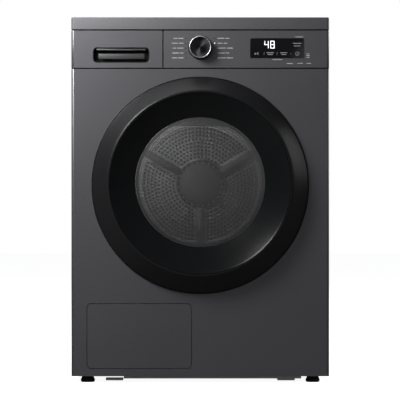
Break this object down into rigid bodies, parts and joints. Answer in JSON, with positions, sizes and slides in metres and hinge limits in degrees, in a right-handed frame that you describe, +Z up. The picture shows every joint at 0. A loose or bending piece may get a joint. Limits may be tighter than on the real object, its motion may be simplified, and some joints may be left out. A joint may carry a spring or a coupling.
{
  "type": "clothes dryer",
  "caption": "Free-standing front-loading tumble dryer with a round glass door, a top panel with a knob and display, a water tank drawer and a service flap.",
  "frame": {"origin": "centre of the footprint on the floor, under the middle of the bounding box", "axes": "+Z up, +Y towards the back, so the door faces -Y and its hinge is on the +X side"},
  "size_m": [0.6, 0.66, 0.85],
  "materials": {
    "cabinet_grey": "metallic satin grey paint",
    "panel_grey": "metallic grey moulded plastic",
    "bezel_grey": "satin dark grey moulding",
    "piano_black": "gloss black",
    "window_glass": "dark tinted glass",
    "bowl_glass": "clear pressed glass",
    "display_black": "gloss black display window",
    "light_lens": "frosted light pipes",
    "knob_chrome": "chrome ring with a spun dark face",
    "galvanised": "galvanised sheet",
    "drum_steel": "brushed stainless steel",
    "black_plastic": "black moulded plastic",
    "dark_plastic": "dark grey moulded plastic",
    "grey_plastic": "grey moulded plastic",
    "white_plastic": "white moulded plastic",
    "tank_plastic": "translucent blow-moulded plastic",
    "rubber": "black rubber",
    "felt": "wool felt",
    "fin_aluminium": "bare fins",
    "copper": "copper tube",
    "motor_paint": "black painted steel",
    "steel": "zinc plated steel",
    "circuit_green": "lacquered board"
  },
  "bodies": {
    "cabinet": {"worktop": "panel_grey", "side_panel_left": "cabinet_grey", "side_panel_right": "cabinet_grey", "front_panel": "cabinet_grey", "rear_panel": "galvanised", "rear_cover": "galvanised", "base_tray": "dark_plastic", "front_rail": "steel", "control_fascia": "panel_grey", "display_glass": "display_black", "indicator_lights": "light_lens", "control_board": "circuit_green", "tank_bay": "grey_plastic", "front_bulkhead": "grey_plastic", "drum_seal": "felt", "door_seal": "rubber", "hinge_bracket": "steel", "latch_receiver": "white_plastic", "lint_filter": "white_plastic", "air_duct": "grey_plastic", "inner_cover": "dark_plastic", "evaporator": "fin_aluminium", "condenser": "fin_aluminium", "compressor": "motor_paint", "refrigerant_pipes": "copper", "motor": "motor_paint", "fan_housing": "grey_plastic", "belt": "rubber", "drain_pump": "white_plastic", "cord_gland": "black_plastic", "drain_spigot": "grey_plastic", "cabinet_screws": "steel"},
    "door": {"door_bezel": "bezel_grey", "door_dish": "piano_black", "door_glass": "window_glass", "door_bowl": "bowl_glass", "door_frame": "dark_plastic", "hinge_arm": "steel", "latch_hook": "white_plastic"},
    "drum": {"drum_shell": "drum_steel", "drum_back": "drum_steel", "drum_lifters": "white_plastic"},
    "roller_left": {"roller_left": "black_plastic"},
    "roller_right": {"roller_right": "black_plastic"},
    "rotor": {"motor_shaft": "steel", "fan_impeller": "dark_plastic"},
    "tension_arm": {"tension_arm": "steel"},
    "idler": {"idler_pulley": "white_plastic"},
    "tank": {"tank_front": "panel_grey", "handle_pocket": "black_plastic", "water_tank": "tank_plastic"},
    "knob": {"knob": "knob_chrome"},
    "flap": {"service_flap": "cabinet_grey"},
    "lock_left": {"cover_lock_left": "grey_plastic"},
    "lock_right": {"cover_lock_right": "grey_plastic"},
    "door_switch": {"door_switch": "white_plastic"},
    "foot_front_left": {"foot_front_left": "rubber"},
    "foot_front_right": {"foot_front_right": "rubber"},
    "foot_rear_left": {"foot_rear_left": "rubber"},
    "foot_rear_right": {"foot_rear_right": "rubber"}
  },
  "joints": [
    {"name": "door_hinge", "type": "hinge", "parent": "cabinet", "child": "door", "pos_m": [0.23, -0.3, 0.466], "axis": [0, 0, 1], "range_deg": [0, 110]},
    {"name": "drum_spin", "type": "hinge", "parent": "cabinet", "child": "drum", "pos_m": [0, 0, 0.466], "axis": [0, 1, 0], "continuous": true},
    {"name": "roller_left_spin", "type": "hinge", "parent": "cabinet", "child": "roller_left", "pos_m": [-0.15765, -0.2, 0.19294], "axis": [0, 1, 0], "continuous": true},
    {"name": "roller_right_spin", "type": "hinge", "parent": "cabinet", "child": "roller_right", "pos_m": [0.15765, -0.2, 0.19294], "axis": [0, 1, 0], "continuous": true},
    {"name": "motor_spin", "type": "hinge", "parent": "cabinet", "child": "rotor", "pos_m": [0.15, 0.098, 0.093], "axis": [0, 1, 0], "continuous": true},
    {"name": "tension_pivot", "type": "hinge", "parent": "cabinet", "child": "tension_arm", "pos_m": [0.10546, 0.107, 0.08003], "axis": [0, -1, 0], "range_deg": [0, 12], "stiffness_Nm_per_rad": 2, "springref_deg": -17.19},
    {"name": "idler_spin", "type": "hinge", "parent": "tension_arm", "child": "idler", "pos_m": [0.06946, 0.098, 0.09748], "axis": [0, 1, 0], "continuous": true},
    {"name": "tank_slide", "type": "slide", "parent": "cabinet", "child": "tank", "axis": [0, -1, 0], "range_m": [0, 0.41]},
    {"name": "knob_turn", "type": "hinge", "parent": "cabinet", "child": "knob", "pos_m": [0, -0.292, 0.7797], "axis": [0, 1, 0], "continuous": true},
    {"name": "flap_hinge", "type": "hinge", "parent": "cabinet", "child": "flap", "pos_m": [-0.142, -0.285, 0.0444], "axis": [1, 0, 0], "range_deg": [0, 90]},
    {"name": "lock_left_turn", "type": "hinge", "parent": "cabinet", "child": "lock_left", "pos_m": [-0.245, -0.265, 0.10097], "axis": [0, 1, 0], "range_deg": [0, 90]},
    {"name": "lock_right_turn", "type": "hinge", "parent": "cabinet", "child": "lock_right", "pos_m": [-0.043, -0.265, 0.10097], "axis": [0, 1, 0], "range_deg": [0, 90]},
    {"name": "door_switch_press", "type": "slide", "parent": "cabinet", "child": "door_switch", "axis": [0, 1, 0], "range_m": [0, 0.003], "stiffness_N_per_m": 200},
    {"name": "foot_front_left_level", "type": "slide", "parent": "cabinet", "child": "foot_front_left", "axis": [0, 0, -1], "range_m": [0, 0.012]},
    {"name": "foot_front_right_level", "type": "slide", "parent": "cabinet", "child": "foot_front_right", "axis": [0, 0, -1], "range_m": [0, 0.012]},
    {"name": "foot_rear_left_level", "type": "slide", "parent": "cabinet", "child": "foot_rear_left", "axis": [0, 0, -1], "range_m": [0, 0.012]},
    {"name": "foot_rear_right_level", "type": "slide", "parent": "cabinet", "child": "foot_rear_right", "axis": [0, 0, -1], "range_m": [0, 0.012]}
  ],
  "couplings": [
    {"joint": "roller_left_spin", "follows": "drum_spin", "ratio": -8},
    {"joint": "roller_right_spin", "follows": "drum_spin", "ratio": -8},
    {"joint": "motor_spin", "follows": "drum_spin", "ratio": 28},
    {"joint": "idler_spin", "follows": "drum_spin", "ratio": -15.556}
  ]
}
